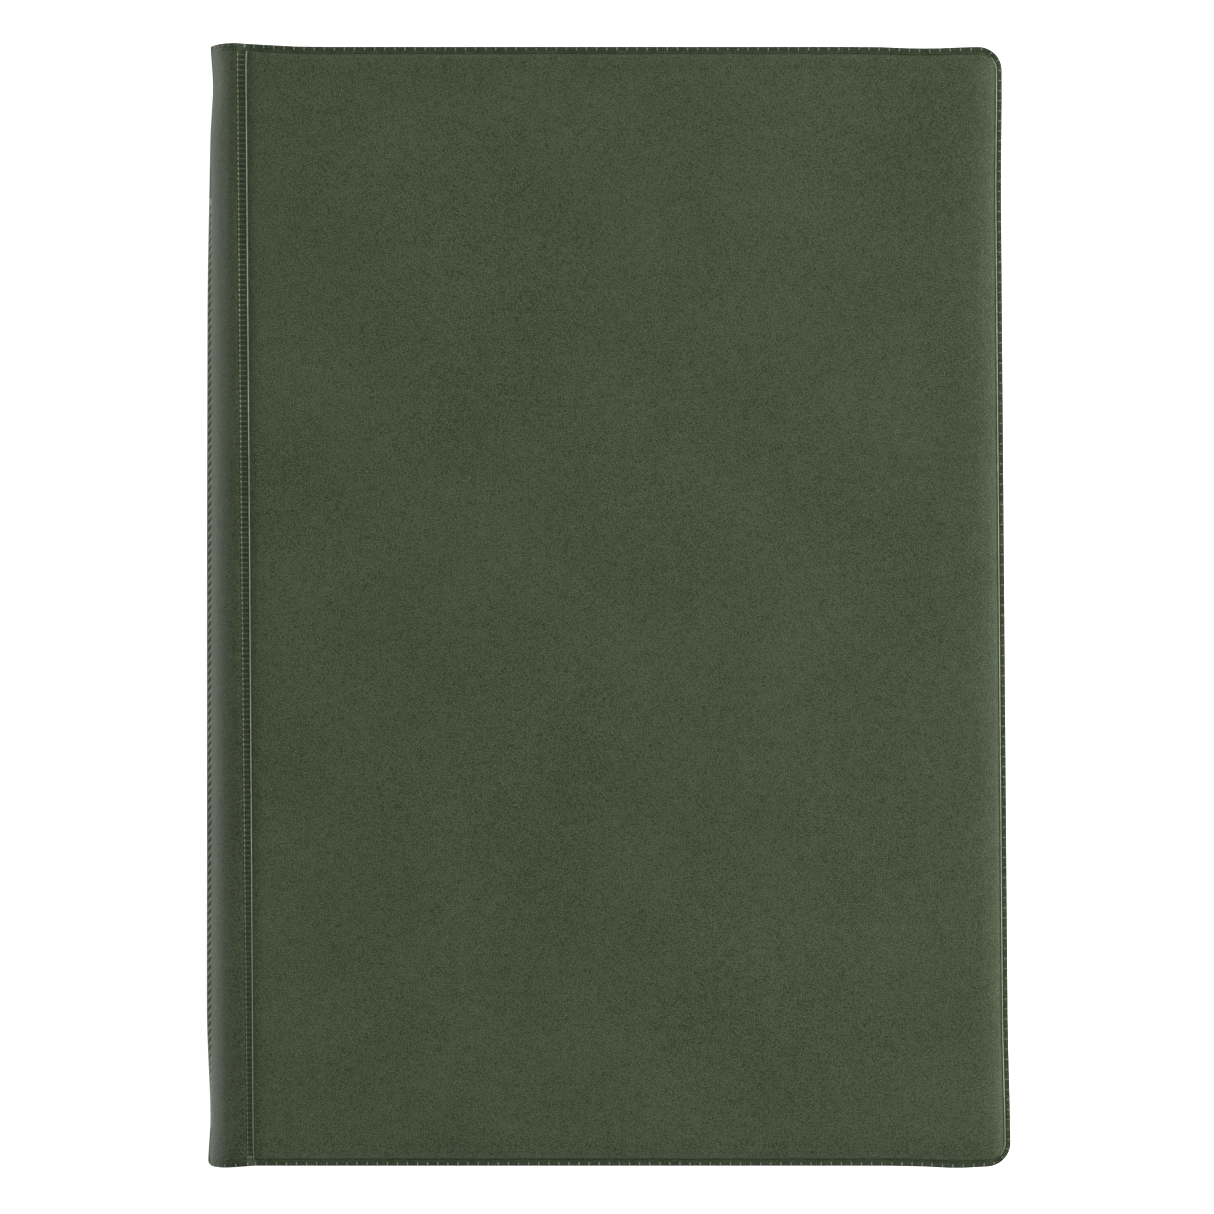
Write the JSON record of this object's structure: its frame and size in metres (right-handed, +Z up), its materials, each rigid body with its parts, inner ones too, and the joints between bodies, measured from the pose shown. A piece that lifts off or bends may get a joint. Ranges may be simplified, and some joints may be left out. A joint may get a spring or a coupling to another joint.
{
  "type": "stamp album",
  "caption": "Soft vinyl stamp album lying closed: padded covers with welded edges and hinge welds, a rolled spine, and card leaves with film pockets on cloth guards.",
  "frame": {"origin": "on the resting surface, under the middle of the closed album", "axes": "+X from the spine to the fore-edge, +Y from the tail to the head of the pages, +Z up through the front cover"},
  "size_m": [0.22, 0.311, 0.0161],
  "materials": {
    "vinyl": "dark green soft vinyl with a fine leather grain and a satin sheen",
    "lining": "dark green vinyl with a faint emboss",
    "foam": "thin white foam sheet",
    "greyboard": "raw grey board",
    "endpaper": "plain off-white paper",
    "cloth": "black woven binding cloth",
    "black_card": "matt black card",
    "clear_film": "clear glossy film",
    "glassine": "thin translucent glassine paper"
  },
  "bodies": {
    "back_cover": {"back_skin": "vinyl", "back_padding": "foam", "back_board": "greyboard", "back_lining": "lining", "back_endpaper": "endpaper", "back_hinge_weld": "vinyl"},
    "spine": {"spine_skin": "vinyl", "spine_card": "greyboard", "spine_lining": "lining", "binding_cloth": "cloth", "guard_stubs": "cloth"},
    "front_cover": {"front_skin": "vinyl", "front_padding": "foam", "front_board": "greyboard", "front_lining": "lining", "front_endpaper": "endpaper", "front_hinge_weld": "vinyl"},
    "leaf_1": {"leaf_1_card": "black_card", "leaf_1_pockets": "clear_film", "leaf_1_guard": "cloth", "interleaf_1": "glassine"},
    "leaf_2": {"leaf_2_card": "black_card", "leaf_2_pockets": "clear_film", "leaf_2_guard": "cloth", "interleaf_2": "glassine"},
    "leaf_3": {"leaf_3_card": "black_card", "leaf_3_pockets": "clear_film", "leaf_3_guard": "cloth", "interleaf_3": "glassine"},
    "leaf_4": {"leaf_4_card": "black_card", "leaf_4_pockets": "clear_film", "leaf_4_guard": "cloth", "interleaf_4": "glassine"},
    "leaf_5": {"leaf_5_card": "black_card", "leaf_5_pockets": "clear_film", "leaf_5_guard": "cloth"},
    "leaf_6": {"leaf_6_card": "black_card", "leaf_6_pockets": "clear_film", "leaf_6_guard": "cloth", "interleaf_5": "glassine"},
    "leaf_7": {"leaf_7_card": "black_card", "leaf_7_pockets": "clear_film", "leaf_7_guard": "cloth", "interleaf_6": "glassine"},
    "leaf_8": {"leaf_8_card": "black_card", "leaf_8_pockets": "clear_film", "leaf_8_guard": "cloth", "interleaf_7": "glassine"}
  },
  "joints": [
    {"name": "spine_hinge", "type": "hinge", "parent": "back_cover", "child": "spine", "pos_m": [-0.1096, 0, 0.0016], "axis": [0, -1, 0], "range_deg": [0, 125.19]},
    {"name": "front_cover_hinge", "type": "hinge", "parent": "spine", "child": "front_cover", "pos_m": [-0.1005, 0, 0.0145], "axis": [0, -1, 0], "range_deg": [0, 54.85]},
    {"name": "leaf_1_turn", "type": "hinge", "parent": "spine", "child": "leaf_1", "pos_m": [-0.09897, 0, 0.01155], "axis": [0, -1, 0], "range_deg": [0, 53.85]},
    {"name": "leaf_2_turn", "type": "hinge", "parent": "spine", "child": "leaf_2", "pos_m": [-0.09845, 0, 0.01055], "axis": [0, -1, 0], "range_deg": [0, 51.85]},
    {"name": "leaf_3_turn", "type": "hinge", "parent": "spine", "child": "leaf_3", "pos_m": [-0.09793, 0, 0.00955], "axis": [0, -1, 0], "range_deg": [0, 49.35]},
    {"name": "leaf_4_turn", "type": "hinge", "parent": "spine", "child": "leaf_4", "pos_m": [-0.09742, 0, 0.00855], "axis": [0, -1, 0], "range_deg": [0, 45.85]},
    {"name": "leaf_5_turn", "type": "hinge", "parent": "spine", "child": "leaf_5", "pos_m": [-0.09812, 0, 0.00755], "axis": [0, -1, 0], "range_deg": [-116.25, 0]},
    {"name": "leaf_6_turn", "type": "hinge", "parent": "spine", "child": "leaf_6", "pos_m": [-0.10005, 0, 0.00655], "axis": [0, -1, 0], "range_deg": [-119.75, 0]},
    {"name": "leaf_7_turn", "type": "hinge", "parent": "spine", "child": "leaf_7", "pos_m": [-0.10198, 0, 0.00555], "axis": [0, -1, 0], "range_deg": [-122.25, 0]},
    {"name": "leaf_8_turn", "type": "hinge", "parent": "spine", "child": "leaf_8", "pos_m": [-0.10391, 0, 0.00455], "axis": [0, -1, 0], "range_deg": [-124.25, 0]}
  ],
  "couplings": [
    {"joint": "front_cover_hinge", "follows": "spine_hinge", "ratio": 0.4377},
    {"joint": "leaf_1_turn", "follows": "spine_hinge", "ratio": 0.42971},
    {"joint": "leaf_2_turn", "follows": "spine_hinge", "ratio": 0.41374},
    {"joint": "leaf_3_turn", "follows": "spine_hinge", "ratio": 0.39377},
    {"joint": "leaf_4_turn", "follows": "spine_hinge", "ratio": 0.36581},
    {"joint": "leaf_5_turn", "follows": "spine_hinge", "ratio": -0.92812},
    {"joint": "leaf_6_turn", "follows": "spine_hinge", "ratio": -0.95607},
    {"joint": "leaf_7_turn", "follows": "spine_hinge", "ratio": -0.97604},
    {"joint": "leaf_8_turn", "follows": "spine_hinge", "ratio": -0.99201}
  ]
}
